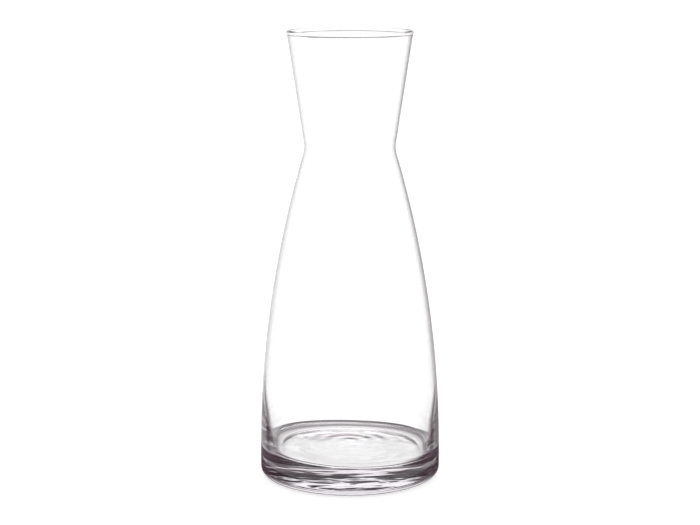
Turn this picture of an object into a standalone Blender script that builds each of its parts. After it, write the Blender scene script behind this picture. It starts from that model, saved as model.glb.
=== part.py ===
"""Clear glass wine decanter: a long bell body on a thick base, a narrow waist and a flared neck.

Metres, +Z up. The origin is the centre of the circle that the decanter stands on.
The object is one piece of glass, turned here about the Z axis. Profile points are
(distance from the axis, height) pairs.
"""

import math

import bpy

# Overall sizes
HEIGHT = 0.262
BASE_RADIUS = 0.053
LIP_RADIUS = 0.0365

# Waist, where the hand grips the decanter
WAIST_RADIUS = 0.0264
WAIST_HEIGHT = 0.195
WAIST_ROUNDING = 0.014

# Wall, and the height at which the body starts to curve in
WALL_THICKNESS = 0.0023
CURVE_START_HEIGHT = 0.012

# The wall is thicker by this much at the floor, and back to normal this far above it
FOOT_THICKENING = 0.003
FOOT_THICKENING_HEIGHT = 0.034
FLOOR_HEIGHT = 0.016
FLOOR_FILLET = 0.003

# The lip's round bead stands proud of both faces of the wall
LIP_BEAD_STAND_OUT = 0.0003

# Underside: a rounded heel, a flat ring to stand on and a shallow hollow inside it
HEEL_RADIUS = 0.0048
BEARING_RING_WIDTH = 0.004
PUNT_DEPTH = 0.0015

# Facets
SEGMENTS_AROUND = 60
FOOT_STEPS = 5
BODY_STEPS = 13
WAIST_STEPS = 6
FILLET_STEPS = 4
LIP_STEPS = 9
HEEL_STEPS = 5
PUNT_STEPS = 4
MERGE_DISTANCE = 0.00001
SMOOTH_ANGLE = math.radians(35)

COLLECTION_NAME = "wine_decanter"
GLASS_COLOUR = (0.92, 0.92, 0.94, 1.0)
GLASS_ROUGHNESS = 0.02
GLASS_IOR = 1.52
TANGENT_ROUNDS = 12


def clear_scene():
    for obj in list(bpy.data.objects):
        bpy.data.objects.remove(obj, do_unlink=True)


def arc(centre, radius, start, end, steps):
    """Points on a circle, from one angle to another, both included."""
    points = []
    for step in range(steps + 1):
        angle = start + (end - start) * step / steps
        points.append((centre[0] + radius * math.cos(angle), centre[1] + radius * math.sin(angle)))
    return points


class WallFace:
    """A face of the wall, a depth behind the outer one: a long arc, a round waist and a straight flared neck.

    The three stretches are tangent to each other, and their centres don't depend on the depth.
    """

    def __init__(self, depth):
        waist_reach = WAIST_RADIUS + WAIST_ROUNDING
        inset = waist_reach - BASE_RADIUS
        rise = WAIST_HEIGHT - CURVE_START_HEIGHT
        curve = (inset**2 + rise**2 - WAIST_ROUNDING**2) / (2 * (WAIST_ROUNDING - inset))
        self.body_centre = (BASE_RADIUS - curve, CURVE_START_HEIGHT)
        self.body_curve = curve - depth
        self.waist_centre = (waist_reach, WAIST_HEIGHT)
        self.waist_curve = WAIST_ROUNDING + depth
        self.shoulder_angle = math.atan2(rise, inset + curve)
        self.shoulder_height = CURVE_START_HEIGHT + self.body_curve * math.sin(self.shoulder_angle)

        self.bead_radius = WALL_THICKNESS / 2 + LIP_BEAD_STAND_OUT
        self.bead_centre = (LIP_RADIUS - self.bead_radius, HEIGHT - self.bead_radius)
        across = self.bead_centre[0] - waist_reach
        up = self.bead_centre[1] - WAIST_HEIGHT
        middle_of_wall = WAIST_ROUNDING + WALL_THICKNESS / 2
        self.neck_angle = math.atan2(up, across) + math.acos(middle_of_wall / math.hypot(across, up))

    def body_radius(self, height):
        rise = height - CURVE_START_HEIGHT
        return self.body_centre[0] + math.sqrt(self.body_curve**2 - rise**2)

    def waist(self):
        """The waist's points, from the shoulder up to the neck."""
        start = math.pi + self.shoulder_angle
        return arc(self.waist_centre, self.waist_curve, start, self.neck_angle, WAIST_STEPS)


def foot_thickening(height):
    """How much thicker the wall is than its normal thickness at this height."""
    faded = (height - FLOOR_HEIGHT) / FOOT_THICKENING_HEIGHT
    return FOOT_THICKENING * max(0.0, 1.0 - faded) ** 2


def inner_radius(face, height):
    return face.body_radius(height) - foot_thickening(height)


def evenly(start, end, steps):
    return [start + (end - start) * step / steps for step in range(steps + 1)]


def floor_and_fillet(face):
    """The flat floor and the round corner where it meets the wall. Also gives the height where the wall starts."""
    height = FLOOR_HEIGHT + FLOOR_FILLET
    for _ in range(TANGENT_ROUNDS):
        step = FLOOR_FILLET / 100
        slope = (inner_radius(face, height + step) - inner_radius(face, height - step)) / (2 * step)
        lean = math.atan(slope)
        height = FLOOR_HEIGHT + FLOOR_FILLET * (1 - math.sin(lean))
    centre = (inner_radius(face, height) - FLOOR_FILLET * math.cos(lean), FLOOR_HEIGHT + FLOOR_FILLET)
    return [(0.0, FLOOR_HEIGHT)] + arc(centre, FLOOR_FILLET, -math.pi / 2, -lean, FILLET_STEPS), height


def inner_profile(face):
    """From the middle of the floor up to the top of the waist."""
    points, wall_start = floor_and_fillet(face)
    foot_top = FLOOR_HEIGHT + FOOT_THICKENING_HEIGHT
    foot = evenly(wall_start, foot_top, FOOT_STEPS)
    body = evenly(foot_top, face.shoulder_height, BODY_STEPS)
    for height in foot[1:] + body[1:-1]:
        points.append((inner_radius(face, height), height))
    return points + face.waist()


def lip_profile(face):
    """The bead, from the inner face over the top to the outer face."""
    overlap = math.acos((WALL_THICKNESS / 2) / face.bead_radius)
    inner = face.neck_angle + overlap
    outer = face.neck_angle - math.pi - overlap
    return arc(face.bead_centre, face.bead_radius, inner, outer, LIP_STEPS)


def outer_profile(face):
    """From the top of the waist down to the top of the heel."""
    points = face.waist()[::-1]
    for height in evenly(face.shoulder_height, CURVE_START_HEIGHT, BODY_STEPS)[1:]:
        points.append((face.body_radius(height), height))
    return points


def underside_profile():
    """The heel, the bearing ring and the hollow, down to the axis."""
    heel = arc((BASE_RADIUS - HEEL_RADIUS, HEEL_RADIUS), HEEL_RADIUS, 0, -math.pi / 2, HEEL_STEPS)
    punt_rim = BASE_RADIUS - HEEL_RADIUS - BEARING_RING_WIDTH
    punt_curve = (punt_rim**2 + PUNT_DEPTH**2) / (2 * PUNT_DEPTH)
    start = math.acos(punt_rim / punt_curve)
    punt = arc((0.0, PUNT_DEPTH - punt_curve), punt_curve, start, math.pi / 2, PUNT_STEPS)
    return heel + punt[:-1] + [(0.0, PUNT_DEPTH)]


def glass_material():
    material = bpy.data.materials.new("clear_glass")
    material.use_nodes = True
    shader = material.node_tree.nodes["Principled BSDF"]
    shader.inputs["Base Color"].default_value = GLASS_COLOUR
    shader.inputs["Roughness"].default_value = GLASS_ROUGHNESS
    shader.inputs["Metallic"].default_value = 0.0
    shader.inputs["IOR"].default_value = GLASS_IOR
    shader.inputs["Transmission Weight"].default_value = 1.0
    return material


def turned_object(name, profile, material, collection):
    """A closed solid: the profile turned about Z, running down its outer side."""
    mesh = bpy.data.meshes.new(name)
    edges = [(index, index + 1) for index in range(len(profile) - 1)]
    mesh.from_pydata([(radius, 0.0, height) for radius, height in profile], edges, [])
    obj = bpy.data.objects.new(name, mesh)
    collection.objects.link(obj)
    mesh.materials.append(material)
    screw = obj.modifiers.new("turn", "SCREW")
    screw.axis = "Z"
    screw.angle = 2 * math.pi
    screw.steps = SEGMENTS_AROUND
    screw.render_steps = SEGMENTS_AROUND
    screw.use_merge_vertices = True
    screw.merge_threshold = MERGE_DISTANCE
    screw.use_smooth_shade = True
    return obj


def turned_to_mesh(obj):
    """Keeps the turned shape as the object's own mesh, shaded smooth except at real edges."""
    graph = bpy.context.evaluated_depsgraph_get()
    mesh = bpy.data.meshes.new_from_object(obj.evaluated_get(graph))
    obj.modifiers.clear()
    obj.data = mesh
    mesh.shade_smooth()
    mesh.set_sharp_from_angle(angle=SMOOTH_ANGLE)


def glass_body(collection):
    inside = WallFace(WALL_THICKNESS)
    outside = WallFace(0.0)
    profile = inner_profile(inside) + lip_profile(outside) + outer_profile(outside) + underside_profile()
    obj = turned_object("glass_body", profile, glass_material(), collection)
    turned_to_mesh(obj)
    return obj


def main():
    clear_scene()
    collection = bpy.data.collections.new(COLLECTION_NAME)
    bpy.context.scene.collection.children.link(collection)
    glass_body(collection)


main()
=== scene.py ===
"""A clear glass wine decanter on a pale table, in plain soft studio light."""

import math

import bpy
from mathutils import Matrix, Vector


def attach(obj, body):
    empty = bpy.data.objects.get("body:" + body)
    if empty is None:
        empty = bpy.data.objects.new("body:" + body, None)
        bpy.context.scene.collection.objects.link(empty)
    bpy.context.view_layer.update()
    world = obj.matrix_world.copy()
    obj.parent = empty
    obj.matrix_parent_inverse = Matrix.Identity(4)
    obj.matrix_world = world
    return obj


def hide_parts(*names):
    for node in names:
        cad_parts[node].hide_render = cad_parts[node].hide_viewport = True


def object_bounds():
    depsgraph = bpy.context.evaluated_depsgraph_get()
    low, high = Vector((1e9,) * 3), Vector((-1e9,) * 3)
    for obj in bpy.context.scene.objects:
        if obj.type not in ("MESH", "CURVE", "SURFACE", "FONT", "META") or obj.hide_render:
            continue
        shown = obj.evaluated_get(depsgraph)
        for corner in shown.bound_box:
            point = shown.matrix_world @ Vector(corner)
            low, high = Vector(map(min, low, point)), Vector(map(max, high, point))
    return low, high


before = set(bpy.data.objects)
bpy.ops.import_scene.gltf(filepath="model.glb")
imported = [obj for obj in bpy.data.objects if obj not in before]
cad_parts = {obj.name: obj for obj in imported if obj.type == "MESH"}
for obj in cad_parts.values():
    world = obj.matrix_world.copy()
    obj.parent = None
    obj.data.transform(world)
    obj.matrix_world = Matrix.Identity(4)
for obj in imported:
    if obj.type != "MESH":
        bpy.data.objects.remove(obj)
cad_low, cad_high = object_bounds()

# Lengths are in metres
MM = 0.001

# The outline, in the same sizes as the solid it replaces. Height and base come from the frame.
HEIGHT = cad_high.z - cad_low.z
BASE_RADIUS = (cad_high.x - cad_low.x) / 2
LIP_RADIUS = 36.5 * MM
WAIST_RADIUS = 26.4 * MM
WAIST_HEIGHT = 195 * MM
WAIST_ROUNDING = 14 * MM
WALL_THICKNESS = 2.3 * MM
CURVE_START_HEIGHT = 12 * MM
FOOT_THICKENING = 3 * MM
FOOT_THICKENING_HEIGHT = 34 * MM
FLOOR_HEIGHT = 16 * MM
FLOOR_FILLET = 3 * MM
LIP_BEAD_STAND_OUT = 0.3 * MM
LIP_BEAD_BLEND = 1.2 * MM
HEEL_RADIUS = 4.8 * MM
BEARING_RING_WIDTH = 4 * MM
PUNT_DEPTH = 1.5 * MM

# How finely the outline is drawn
FLOOR_STEPS = 70
FILLET_STEPS = 8
FOOT_STEPS = 16
BODY_STEPS = 54
WAIST_STEPS = 10
NECK_STEPS = 20
BEAD_STEPS = 18
HEEL_STEPS = 12
RING_STEPS = 3
PUNT_STEPS = 40
TANGENT_ROUNDS = 12
SLOPE_STEP = FLOOR_FILLET / 100
SEGMENTS_AROUND = 256
MERGE_DISTANCE = 0.001 * MM

# Unevenness of the glass: a tilted floor with faint rings, and hollows in the walls and the underside
SEED = 3.0
# These move the noise, so that the inner face, the outer one and the underside don't share a pattern
INSIDE_SHIFT = 7
UNDER_SHIFT = 20

FLOOR_TILT = math.radians(2)
TILT_START = 2 * MM
TILT_REACH = 25 * MM
FLOOR_RING_HEIGHT = 0.04 * MM
FLOOR_RING_SPACING = 8 * MM
FLOOR_RING_REACH = 0.9 * BASE_RADIUS
WALL_WAVINESS = 0.05 * MM
WALL_WAVELENGTH = 40 * MM
WALL_DETAIL = 1.0
UNDER_WAVINESS = 0.5 * MM
UNDER_WAVELENGTH = 20 * MM
UNDER_DETAIL = 2.0
UNDER_SETTLE_HEIGHT = 0.2 * MM
HOLLOW_ROUGHNESS = 0.5

WHITE = (1.0, 1.0, 1.0, 1.0)
GLASS_IOR = 1.52
GLASS_TINT = (0.80, 0.74, 0.82, 1.0)
GLASS_TINT_DENSITY = 5.0
SMEAR_SCALE = 60.0
SMEAR_DETAIL = 4.0
SMEAR_SPREAD = (0.55, 0.8)
SMEAR_ROUGHNESS = 0.015

# Painted shade: where the eye grazes the outer face, a dark diffuse shade is mixed into the glass. Facing
# runs from 0 head on to 1 edge on, and a pair of facings says where a shade starts and where it is full.
FACING_BLEND = 0.5
PAINTED_EDGE_SHADE = (0.06, 0.028, 0.042, 1.0)
EDGE_LINE = (0.6, 0.86)
EDGE_LINE_STRENGTH = 0.4
EDGE_FADE = (0.28, 0.8)
EDGE_FADE_STRENGTH = 0.13
# The underside has no painted shade, which comes in between these heights
EDGE_HEIGHT = (1.5 * MM, 4 * MM)
# Painted one-sided shade: the line and the fade are stronger by this part on the +X side, and weaker by as
# much on the other
PAINTED_SHADE_LEAN = 0.25
# Goes into the distance from the axis, so that nothing is divided by zero
AXIS_GUARD = 1 * MM

# In the thick foot a line of painted shade stands off the edge. It goes from the first facing to the second
# over the slant heights, and from the low part of its strength to all of it over the low heights. It fades
# over the top ones.
FOOT_LINE_STRENGTH = 0.75
FOOT_LINE_WIDTH = 0.1
FOOT_LINE_FACING = (0.62, 0.80)
FOOT_LINE_SLANT = (34 * MM, 60 * MM)
FOOT_LINE_TOP = (50 * MM, 78 * MM)
FOOT_LINE_LOW = (12 * MM, 30 * MM)
FOOT_LINE_LOW_PART = 0.4

# Rings of painted shade in the thick base, each as (bottom, top, its pair of facings, strength)
PAINTED_BASE_RINGS = (
    (0.0, 8 * MM, (0.25, 0.5), 0.6),
    (14 * MM, 18.5 * MM, (0.14, 0.45), 0.75),
)
BASE_RING_BLEND = 1.5 * MM

TABLE_SHADE = 0.5
TABLE_GLOW = 0.70
TABLE_REACH = 30
TABLE_GAP = 0.1 * MM
MOTTLE_SCALE = 8.0
MOTTLE_DETAIL = 3.0
MOTTLE_DEPTH = 0.006

# The surroundings' light by elevation in degrees: white low down, then dim and bright strips, and a broad
# soft light above them
SURROUNDINGS = (
    (-90, 1.12), (8, 1.12), (13, 1.05), (14.2, 0.8), (14.7, 0.2), (15.6, 0.04),
    (18.9, 0.03), (19.3, 1.12), (20.1, 1.12), (20.5, 0.03), (23, 0.03), (24, 0.7),
    (25, 0.03), (29, 0.03), (30, 0.8), (33, 0.8), (34, 0.03), (45, 0.03),
    (51, 1.5), (90, 1.6),
)

# The light that the glass finds on the table under and round it, by millimetres from the middle
UNDERLIGHT = (
    (0, 1.2), (15, 1.15), (30, 1.0), (37, 1.12), (45, 1.0), (50, 0.35), (51, 0.02),
    (53, 0.04), (54, 0.6), (56, 0.6), (59, 0.08), (73, 0.05), (77, 1.12), (110, 1.12),
)
UNDERLIGHT_SIDES = 96

# Dim light is tinted, by up to this much where there is almost none
DIM_TINT = (1.0, 0.70, 0.83)

MOST_BOUNCES = 32
GLOSSY_BOUNCES = 16

# The lens and the sensor are in millimetres
CAMERA_BACK = 1.052
CAMERA_HEIGHT = 0.3174
CAMERA_PITCH = math.radians(10.27)
CAMERA_LENS = 93.9
CAMERA_SENSOR = 36


# ---------------------------------------------------------------------------
# Node helpers


class Socket:
    """A node output that takes part in Python arithmetic by adding Math nodes."""

    def __init__(self, tree, link):
        self.tree = tree
        self.link = link

    def math(self, operation, *others):
        return self.tree.add("ShaderNodeMath", {"operation": operation}, [self, *others])

    def __add__(self, other):
        return self.math("ADD", other)

    def __radd__(self, other):
        return self.math("ADD", other)

    def __sub__(self, other):
        return self.math("SUBTRACT", other)

    def __rsub__(self, other):
        return self.tree.add("ShaderNodeMath", {"operation": "SUBTRACT"}, [other, self])

    def __mul__(self, other):
        return self.math("MULTIPLY", other)

    def __truediv__(self, other):
        return self.math("DIVIDE", other)

    def __rtruediv__(self, other):
        return self.tree.add("ShaderNodeMath", {"operation": "DIVIDE"}, [other, self])

    def __pow__(self, other):
        return self.math("POWER", other)

    def step(self, start, end):
        """0 below start, 1 above end, and smooth between them."""
        settings = {"interpolation_type": "SMOOTHSTEP"}
        inputs = {"Value": self, "From Min": start, "From Max": end}
        return self.tree.add("ShaderNodeMapRange", settings, inputs, "Result")


class Tree:
    """Adds nodes to one node tree. Sockets are given by name or in order, as values or as links."""

    def __init__(self, node_tree):
        self.node_tree = node_tree

    def node(self, kind, settings=None, inputs=None):
        node = self.node_tree.nodes.new(kind)
        for name, value in (settings or {}).items():
            if name == "stops":
                self.set_stops(node.color_ramp.elements, value)
            else:
                setattr(node, name, value)
        pairs = inputs.items() if isinstance(inputs, dict) else enumerate(inputs or [])
        for key, value in pairs:
            if isinstance(value, Socket):
                self.node_tree.links.new(value.link, node.inputs[key])
            else:
                node.inputs[key].default_value = value
        return node

    def set_stops(self, elements, stops):
        """Gives a ramp its (position, colour) stops, of which the first is at 0 and the last at 1."""
        elements[0].color = stops[0][1]
        elements[-1].color = stops[-1][1]
        for position, colour in stops[1:-1]:
            elements.new(position).color = colour

    def add(self, kind, settings=None, inputs=None, output=0):
        return Socket(self, self.node(kind, settings, inputs).outputs[output])


# ---------------------------------------------------------------------------
# The outline, as (distance from the axis, height) pairs


def arc(centre, radius, start, end, steps):
    points = []
    for step in range(steps + 1):
        angle = start + (end - start) * step / steps
        points.append((centre[0] + radius * math.cos(angle), centre[1] + radius * math.sin(angle)))
    return points


class WallFace:
    """A face of the wall, a depth behind the outer one: a long arc, a round waist and a straight neck."""

    def __init__(self, depth):
        waist_reach = WAIST_RADIUS + WAIST_ROUNDING
        inset = waist_reach - BASE_RADIUS
        rise = WAIST_HEIGHT - CURVE_START_HEIGHT
        curve = (inset**2 + rise**2 - WAIST_ROUNDING**2) / (2 * (WAIST_ROUNDING - inset))
        self.depth = depth
        self.body_centre = (BASE_RADIUS - curve, CURVE_START_HEIGHT)
        self.body_curve = curve - depth
        self.waist_centre = (waist_reach, WAIST_HEIGHT)
        self.waist_curve = WAIST_ROUNDING + depth
        self.shoulder_angle = math.atan2(rise, inset + curve)
        shoulder_rise = self.body_curve * math.sin(self.shoulder_angle)
        self.shoulder_height = CURVE_START_HEIGHT + shoulder_rise
        self.bead_radius = WALL_THICKNESS / 2 + LIP_BEAD_STAND_OUT
        self.bead_centre = (LIP_RADIUS - self.bead_radius, HEIGHT - self.bead_radius)
        across = self.bead_centre[0] - waist_reach
        up = self.bead_centre[1] - WAIST_HEIGHT
        middle_of_wall = WAIST_ROUNDING + WALL_THICKNESS / 2
        beyond_chord = math.acos(middle_of_wall / math.hypot(across, up))
        self.neck_angle = math.atan2(up, across) + beyond_chord

    def body_radius(self, height):
        rise = height - CURVE_START_HEIGHT
        return self.body_centre[0] + math.sqrt(self.body_curve**2 - rise**2)

    def waist(self, steps):
        start = math.pi + self.shoulder_angle
        return arc(self.waist_centre, self.waist_curve, start, self.neck_angle, steps)

    def neck_point(self, up_from_bead):
        """The point of this face at a distance up the neck from the bead's centre, negative below it."""
        across = WALL_THICKNESS / 2 - self.depth
        turn = self.neck_angle
        radius = self.bead_centre[0] - across * math.cos(turn) + up_from_bead * math.sin(turn)
        height = self.bead_centre[1] - across * math.sin(turn) - up_from_bead * math.cos(turn)
        return radius, height


def evenly(start, end, steps):
    return [start + (end - start) * step / steps for step in range(steps + 1)]


def line(start, end, steps):
    return list(zip(evenly(start[0], end[0], steps), evenly(start[1], end[1], steps)))


def inner_radius(face, height):
    faded = (height - FLOOR_HEIGHT) / FOOT_THICKENING_HEIGHT
    return face.body_radius(height) - FOOT_THICKENING * max(0.0, 1.0 - faded) ** 2


def floor_outline(face):
    """The flat floor and its round corner, and the height where the wall starts."""
    height = FLOOR_HEIGHT + FLOOR_FILLET
    for _ in range(TANGENT_ROUNDS):
        widening = inner_radius(face, height + SLOPE_STEP) - inner_radius(face, height - SLOPE_STEP)
        lean = math.atan(widening / (2 * SLOPE_STEP))
        height = FLOOR_HEIGHT + FLOOR_FILLET * (1 - math.sin(lean))
    centre = (inner_radius(face, height) - FLOOR_FILLET * math.cos(lean), FLOOR_HEIGHT + FLOOR_FILLET)
    flat = line((0.0, FLOOR_HEIGHT), (centre[0], FLOOR_HEIGHT), FLOOR_STEPS)
    return flat + arc(centre, FLOOR_FILLET, -math.pi / 2, -lean, FILLET_STEPS)[1:], height


def lip_fillet_drop(face):
    """How far below the bead's centre its fillets meet the wall, and the angle over which they turn."""
    beside = WALL_THICKNESS / 2 + LIP_BEAD_BLEND
    reach = face.bead_radius + LIP_BEAD_BLEND
    return math.sqrt(reach**2 - beside**2), math.acos(beside / reach)


def inner_outline(face):
    """From the middle of the floor up the inside to the lip's fillet."""
    points, start = floor_outline(face)
    foot_top = FLOOR_HEIGHT + FOOT_THICKENING_HEIGHT
    foot = evenly(start, foot_top, FOOT_STEPS)
    body = evenly(foot_top, face.shoulder_height, BODY_STEPS)
    for height in foot[1:] + body[1:-1]:
        points.append((inner_radius(face, height), height))
    points += face.waist(WAIST_STEPS)
    drop, _ = lip_fillet_drop(face)
    return points + line(points[-1], face.neck_point(-drop), NECK_STEPS)[1:]


def lip_outline(face):
    """The inner fillet, the bead and the outer fillet."""
    drop, turn = lip_fillet_drop(face)
    up = face.neck_angle
    beside = WALL_THICKNESS / 2 + LIP_BEAD_BLEND
    centre_in = (
        face.bead_centre[0] + beside * math.cos(up) - drop * math.sin(up),
        face.bead_centre[1] + beside * math.sin(up) + drop * math.cos(up),
    )
    centre_out = (
        face.bead_centre[0] - beside * math.cos(up) - drop * math.sin(up),
        face.bead_centre[1] - beside * math.sin(up) + drop * math.cos(up),
    )
    inner = arc(centre_in, LIP_BEAD_BLEND, up - math.pi, up - math.pi + turn, FILLET_STEPS)
    bead = arc(face.bead_centre, face.bead_radius, up + turn, up - math.pi - turn, BEAD_STEPS)
    outer = arc(centre_out, LIP_BEAD_BLEND, up - turn, up, FILLET_STEPS)
    return inner[1:] + bead[1:-1] + outer


def outer_outline(face):
    """From the lip's fillet down the outside to the top of the heel."""
    drop, _ = lip_fillet_drop(face)
    waist = face.waist(WAIST_STEPS)[::-1]
    points = line(face.neck_point(-drop), waist[0], NECK_STEPS)[1:] + waist[1:]
    for height in evenly(face.shoulder_height, CURVE_START_HEIGHT, BODY_STEPS)[1:]:
        points.append((face.body_radius(height), height))
    return points


def under_outline():
    """The heel, the bearing ring and the hollow inside it."""
    heel = arc((BASE_RADIUS - HEEL_RADIUS, HEEL_RADIUS), HEEL_RADIUS, 0, -math.pi / 2, HEEL_STEPS)
    punt_rim = BASE_RADIUS - HEEL_RADIUS - BEARING_RING_WIDTH
    curve = (punt_rim**2 + PUNT_DEPTH**2) / (2 * PUNT_DEPTH)
    start = math.acos(punt_rim / curve)
    punt = arc((0.0, PUNT_DEPTH - curve), curve, start, math.pi / 2, PUNT_STEPS)
    ring = line(heel[-1], punt[0], RING_STEPS)
    return heel + ring[1:] + punt[1:-1] + [(0.0, PUNT_DEPTH)]


def outline_mesh():
    """The outline as a row of points that carry which way the glass faces and which face they are on."""
    inside = inner_outline(WallFace(WALL_THICKNESS))
    lip = lip_outline(WallFace(0.0))
    outside = outer_outline(WallFace(0.0))
    under = under_outline()
    points = inside + lip + outside + under
    mesh = bpy.data.meshes.new("outline")
    mesh.from_pydata([(radius, 0.0, height) for radius, height in points], [], [])
    facing, is_inside, is_under = [], [], []
    for index in range(len(points)):
        before = points[max(index - 1, 0)]
        after = points[min(index + 1, len(points) - 1)]
        along = (after[0] - before[0], after[1] - before[1])
        length = math.hypot(*along)
        facing += [-along[1] / length, 0.0, along[0] / length]
        on_lip = (index - len(inside)) / len(lip)
        is_inside.append(1 - min(max(on_lip, 0.0), 1.0))
        on_heel = (index - len(inside) - len(lip) - len(outside)) / HEEL_STEPS
        is_under.append(min(max(on_heel, 0.0), 1.0))
    mesh.attributes.new("facing", "FLOAT_VECTOR", "POINT").data.foreach_set("vector", facing)
    mesh.attributes.new("inside", "FLOAT", "POINT").data.foreach_set("value", is_inside)
    mesh.attributes.new("under", "FLOAT", "POINT").data.foreach_set("value", is_under)
    return mesh


# ---------------------------------------------------------------------------
# The glass, turned by Geometry Nodes


def turning_inputs(material):
    """The named inputs of the turning group, each as (name, socket type, value)."""
    return (
        ("Segments", "NodeSocketInt", SEGMENTS_AROUND),
        ("Floor Tilt", "NodeSocketFloat", FLOOR_TILT),
        ("Tilt Reach", "NodeSocketFloat", TILT_REACH),
        ("Ring Height", "NodeSocketFloat", FLOOR_RING_HEIGHT),
        ("Ring Spacing", "NodeSocketFloat", FLOOR_RING_SPACING),
        ("Wall Waviness", "NodeSocketFloat", WALL_WAVINESS),
        ("Wall Wavelength", "NodeSocketFloat", WALL_WAVELENGTH),
        ("Underside Waviness", "NodeSocketFloat", UNDER_WAVINESS),
        ("Underside Wavelength", "NodeSocketFloat", UNDER_WAVELENGTH),
        ("Seed", "NodeSocketFloat", SEED),
        ("Material", "NodeSocketMaterial", material),
    )


def turning_tree(inputs):
    """Turns an outline about Z and gives it the small unevenness of hand-finished glass."""
    group = bpy.data.node_groups.new("turned_glass", "GeometryNodeTree")
    group.interface.new_socket("Outline", in_out="INPUT", socket_type="NodeSocketGeometry")
    group.interface.new_socket("Glass", in_out="OUTPUT", socket_type="NodeSocketGeometry")
    identifiers = {}
    for name, kind, _ in inputs:
        socket = group.interface.new_socket(name, in_out="INPUT", socket_type=kind)
        identifiers[name] = socket.identifier
    tree = Tree(group)
    entry = tree.node("NodeGroupInput")

    def given(name):
        return Socket(tree, entry.outputs[name])

    outline = given("Outline")
    measured = {"Geometry": outline}
    count = tree.add("GeometryNodeAttributeDomainSize", {"component": "MESH"}, measured, "Point Count")
    size = {"Vertices X": given("Segments") + 1, "Vertices Y": count}
    grid = tree.add("GeometryNodeMeshGrid", {}, size, "Mesh")
    index = tree.add("GeometryNodeInputIndex")
    column = (index / count).math("FLOOR")
    row = index - column * count
    turn = column / given("Segments") * (2 * math.pi)

    def from_outline(field, data_type):
        settings = {"data_type": data_type, "domain": "POINT"}
        sampled = {"Geometry": outline, "Value": field, "Index": row}
        return tree.add("GeometryNodeSampleIndex", settings, sampled)

    def named(name, data_type):
        field = tree.add("GeometryNodeInputNamedAttribute", {"data_type": data_type}, {"Name": name})
        return from_outline(field, data_type)

    def parts(vector):
        split = tree.node("ShaderNodeSeparateXYZ", {}, [vector])
        return Socket(tree, split.outputs[0]), Socket(tree, split.outputs[2])

    def turned(radius, height):
        place = [radius * turn.math("COSINE"), radius * turn.math("SINE"), height]
        return tree.add("ShaderNodeCombineXYZ", {}, place)

    radius, height = parts(from_outline(tree.add("GeometryNodeInputPosition"), "FLOAT_VECTOR"))
    facing_out, facing_up = parts(named("facing", "FLOAT_VECTOR"))
    inside = named("inside", "FLOAT")
    under = named("under", "FLOAT")
    place = turned(radius, height)

    def hollows(wavelength, shift, detail):
        """Noise from -1 to 0, so that it only goes into the glass."""
        inputs = {
            "Vector": place,
            "W": given("Seed") + shift,
            "Scale": 1 / wavelength,
            "Detail": detail,
            "Roughness": HOLLOW_ROUGHNESS,
        }
        return tree.add("ShaderNodeTexNoise", {"noise_dimensions": "4D"}, inputs) - 1

    above_floor = height - FLOOR_HEIGHT
    near_floor = inside * (1 - above_floor.step(TILT_START, given("Tilt Reach")))
    on_floor = inside * (1 - above_floor.step(0.0, FLOOR_FILLET))
    tilt = near_floor * given("Floor Tilt").math("TANGENT") * radius * turn.math("COSINE")
    ripple = (radius / given("Ring Spacing") * (2 * math.pi)).math("COSINE")
    fade = 1 - (radius / FLOOR_RING_REACH) ** 2
    rings = on_floor * given("Ring Height") * ripple * fade
    wall_hollows = hollows(given("Wall Wavelength"), inside * INSIDE_SHIFT, WALL_DETAIL)
    walls = wall_hollows * given("Wall Waviness") * (1 - under)
    under_hollows = hollows(given("Underside Wavelength"), UNDER_SHIFT, UNDER_DETAIL)
    settle = under * height.step(0.0, UNDER_SETTLE_HEIGHT)
    bottom = under_hollows * given("Underside Waviness") * settle
    proud = rings + walls + bottom
    final = turned(radius + proud * facing_out, height + proud * facing_up - tilt)

    marked = tree.add(
        "GeometryNodeStoreNamedAttribute",
        {"data_type": "FLOAT", "domain": "POINT"},
        {"Geometry": grid, "Name": "inner_face", "Value": inside},
    )
    shaped = tree.add("GeometryNodeSetPosition", {}, {"Geometry": marked, "Position": final})
    joined = tree.add("GeometryNodeMergeByDistance", {}, {"Geometry": shaped, "Distance": MERGE_DISTANCE})
    outward = tree.add("GeometryNodeFlipFaces", {}, {"Mesh": joined})
    smooth = tree.add("GeometryNodeSetShadeSmooth", {}, {"Geometry": outward})
    real = tree.add("GeometryNodeRealizeInstances", {}, {"Geometry": smooth})
    coated = {"Geometry": real, "Material": given("Material")}
    finished = tree.add("GeometryNodeSetMaterial", {}, coated)
    tree.node("NodeGroupOutput", {}, {"Glass": finished})
    return group, identifiers


def plain_mesh(obj, name):
    """Replaces an object's modifiers with the mesh that they make."""
    graph = bpy.context.evaluated_depsgraph_get()
    mesh = bpy.data.meshes.new_from_object(obj.evaluated_get(graph))
    mesh.name = name
    obj.modifiers.clear()
    obj.data = mesh
    return obj


def glass_decanter(material):
    obj = bpy.data.objects.new("decanter_glass", outline_mesh())
    bpy.context.scene.collection.objects.link(obj)
    inputs = turning_inputs(material)
    group, identifiers = turning_tree(inputs)
    modifier = obj.modifiers.new("turn", "NODES")
    modifier.node_group = group
    for name, _, value in inputs:
        modifier[identifiers[name]] = value
    return plain_mesh(obj, "decanter_glass")


# ---------------------------------------------------------------------------
# Materials


def new_material(name):
    material = bpy.data.materials.new(name)
    material.use_nodes = True
    material.node_tree.nodes.clear()
    return material, Tree(material.node_tree)


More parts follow.
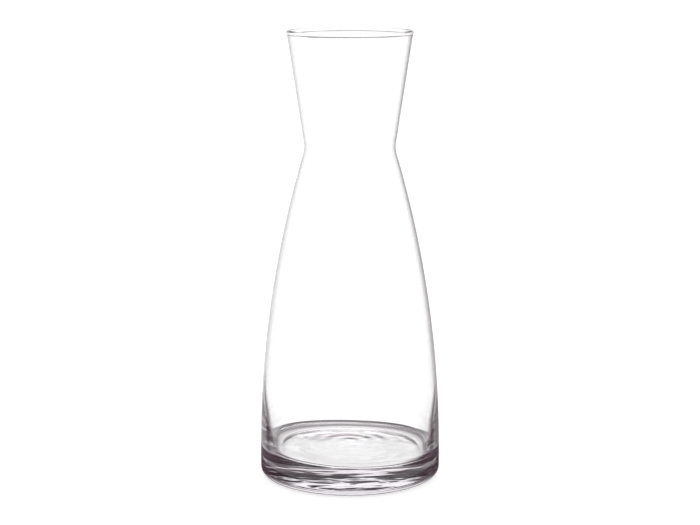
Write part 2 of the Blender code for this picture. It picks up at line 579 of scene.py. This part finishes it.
def painted_shade_depth(tree, place):
    """How much of the painted edge shade shows, from the edge's line and fade, the foot's line and the
    rings.
    """
    split = tree.node("ShaderNodeSeparateXYZ", {}, [place])
    across, deep, height = (Socket(tree, output) for output in split.outputs)
    facing = tree.add("ShaderNodeLayerWeight", {}, {"Blend": FACING_BLEND}, "Facing")
    reach = (across * across + deep * deep + AXIS_GUARD**2).math("SQRT")
    # Painted shade that is stronger on the +X side
    side = 1 + across / reach * PAINTED_SHADE_LEAN
    painted_edge_line = facing.step(*EDGE_LINE) * EDGE_LINE_STRENGTH * side
    painted_edge_fade = facing.step(*EDGE_FADE) * EDGE_FADE_STRENGTH * side

    # A line of painted shade in the foot
    low_facing, high_facing = FOOT_LINE_FACING
    line_facing = low_facing + height.step(*FOOT_LINE_SLANT) * (high_facing - low_facing)
    off_line = (facing - line_facing).math("ABSOLUTE") / FOOT_LINE_WIDTH
    up_foot = FOOT_LINE_LOW_PART + height.step(*FOOT_LINE_LOW) * (1 - FOOT_LINE_LOW_PART)
    in_foot = up_foot * (1 - height.step(*FOOT_LINE_TOP))
    painted_foot_line = (1 - off_line).math("MAXIMUM", 0.0) * FOOT_LINE_STRENGTH * in_foot
    darkest = painted_foot_line.math("MAXIMUM", painted_edge_line)

    # Rings of painted shade in the base
    for bottom, top, facings, strength in PAINTED_BASE_RINGS:
        above_bottom = height.step(bottom - BASE_RING_BLEND, bottom)
        below_top = 1 - height.step(top, top + BASE_RING_BLEND)
        darkest = darkest.math("MAXIMUM", above_bottom * below_top * facing.step(*facings) * strength)

    inner = tree.add("ShaderNodeAttribute", {"attribute_name": "inner_face"}, {}, "Fac")
    return (darkest + painted_edge_fade) * (1 - inner) * height.step(*EDGE_HEIGHT)


def clear_glass():
    """Polished soda-lime glass: faintly violet-grey where it is thick, with a few smears of handling and
    painted edge shade.
    """
    material, tree = new_material("clear_glass")
    place = tree.add("ShaderNodeTexCoord", {}, {}, "Object")
    noise = {"Vector": place, "Scale": SMEAR_SCALE, "Detail": SMEAR_DETAIL}
    smears = tree.add("ShaderNodeTexNoise", {}, noise).step(*SMEAR_SPREAD)
    polish = {
        "Base Color": WHITE,
        "Roughness": smears * SMEAR_ROUGHNESS,
        "IOR": GLASS_IOR,
        "Transmission Weight": 1.0,
    }
    surface = tree.add("ShaderNodeBsdfPrincipled", {}, polish)
    # A dark diffuse, mixed in as painted shade at the edges, in the foot and in the base rings
    shade = tree.add("ShaderNodeBsdfDiffuse", {}, {"Color": PAINTED_EDGE_SHADE})
    painted_shade_mix = tree.add("ShaderNodeMixShader", {}, [painted_shade_depth(tree, place), surface, shade])
    tint = {"Color": GLASS_TINT, "Density": GLASS_TINT_DENSITY}
    inside = tree.add("ShaderNodeVolumeAbsorption", {}, tint)
    tree.node("ShaderNodeOutputMaterial", {}, {"Surface": painted_shade_mix, "Volume": inside})
    return material


def profile(tree, value, stops):
    """The colour and strength of light along the stops, which are (position, light) pairs."""
    first, last = stops[0][0], stops[-1][0]
    most = max(light for _, light in stops)
    colours = []
    for position, light in stops:
        dimness = max(0.0, 1.0 - light)
        tinted = [light * (1 - dimness * (1 - part)) / most for part in DIM_TINT]
        colours.append(((position - first) / (last - first), (*tinted, 1.0)))
    along = (value - first) / (last - first)
    return tree.add("ShaderNodeValToRGB", {"stops": colours}, {"Fac": along}), most


def pale_table():
    """White and lightly lit from below, with a faint mottle."""
    material, tree = new_material("pale_table")
    place = tree.add("ShaderNodeTexCoord", {}, {}, "Object")
    noise = {"Vector": place, "Scale": MOTTLE_SCALE, "Detail": MOTTLE_DETAIL}
    shade = tree.add("ShaderNodeTexNoise", {}, noise) * MOTTLE_DEPTH + TABLE_SHADE
    colour = tree.add("ShaderNodeCombineXYZ", {}, [shade, shade, shade])
    diffuse = tree.add("ShaderNodeBsdfDiffuse", {}, {"Color": colour})
    glow = tree.add("ShaderNodeEmission", {}, {"Strength": TABLE_GLOW})
    lit = tree.add("ShaderNodeAddShader", {}, [diffuse, glow])
    tree.node("ShaderNodeOutputMaterial", {}, {"Surface": lit})
    return material


def underlight():
    """The light and the shadow that only the glass picks up from the table close to it."""
    material, tree = new_material("underlight")
    place = tree.add("ShaderNodeTexCoord", {}, {}, "Object")
    distance = tree.add("ShaderNodeVectorMath", {"operation": "LENGTH"}, [place], "Value")
    colour, most = profile(tree, distance / MM, UNDERLIGHT)
    glow = tree.add("ShaderNodeEmission", {}, {"Color": colour, "Strength": most})
    tree.node("ShaderNodeOutputMaterial", {}, {"Surface": glow})
    return material


# ---------------------------------------------------------------------------
# Studio


def flat_piece(name, corners, material):
    mesh = bpy.data.meshes.new(name)
    mesh.from_pydata(corners, [], [tuple(range(len(corners)))])
    mesh.materials.append(material)
    obj = bpy.data.objects.new(name, mesh)
    bpy.context.scene.collection.objects.link(obj)
    return obj


def table_top(material):
    reach = TABLE_REACH
    height = cad_low.z - TABLE_GAP
    square = [(-reach, -reach), (reach, -reach), (reach, reach), (-reach, reach)]
    return flat_piece("table_top", [(x, y, height) for x, y in square], material)


def studio_light():
    """Surroundings whose light changes only with elevation."""
    world = bpy.data.worlds.new("studio")
    bpy.context.scene.world = world
    world.use_nodes = True
    world.node_tree.nodes.clear()
    tree = Tree(world.node_tree)
    direction = tree.add("ShaderNodeTexCoord", {}, {}, "Generated")
    up = Socket(tree, tree.node("ShaderNodeSeparateXYZ", {}, [direction]).outputs[2])
    elevation = up.math("ARCSINE") * math.degrees(1)
    colour, most = profile(tree, elevation, SURROUNDINGS)
    light = tree.add("ShaderNodeBackground", {}, {"Color": colour, "Strength": most})
    tree.node("ShaderNodeOutputWorld", {}, {"Surface": light})


def underlight_disc(material):
    """A disc on the table that nothing but the glass sees."""
    radius = UNDERLIGHT[-1][0] * MM
    height = cad_low.z - TABLE_GAP / 2
    rim = arc((0.0, 0.0), radius, 0, 2 * math.pi, UNDERLIGHT_SIDES)[:-1]
    disc = flat_piece("underlight_disc", [(x, y, height) for x, y in rim], material)
    disc.visible_camera = False
    disc.visible_diffuse = False
    disc.visible_shadow = False
    return disc


def camera():
    data = bpy.data.cameras.new("camera")
    data.lens = CAMERA_LENS
    data.sensor_width = CAMERA_SENSOR
    obj = bpy.data.objects.new("camera", data)
    obj.location = (0.0, -CAMERA_BACK, cad_low.z + CAMERA_HEIGHT)
    obj.rotation_euler = (math.pi / 2 - CAMERA_PITCH, 0.0, 0.0)
    bpy.context.scene.collection.objects.link(obj)
    bpy.context.scene.camera = obj


def render_look():
    """Plain colours, enough bounces for thick glass, and no grain."""
    scene = bpy.context.scene
    scene.view_settings.view_transform = "Standard"
    scene.cycles.max_bounces = MOST_BOUNCES
    scene.cycles.transmission_bounces = MOST_BOUNCES
    scene.cycles.glossy_bounces = GLOSSY_BOUNCES
    scene.cycles.use_denoising = True


def main():
    render_look()
    camera()
    studio_light()
    table_top(pale_table())
    underlight_disc(underlight())
    decanter = glass_decanter(clear_glass())
    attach(decanter, "root")
    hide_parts("glass_body")

    bpy.context.view_layer.update()


main()
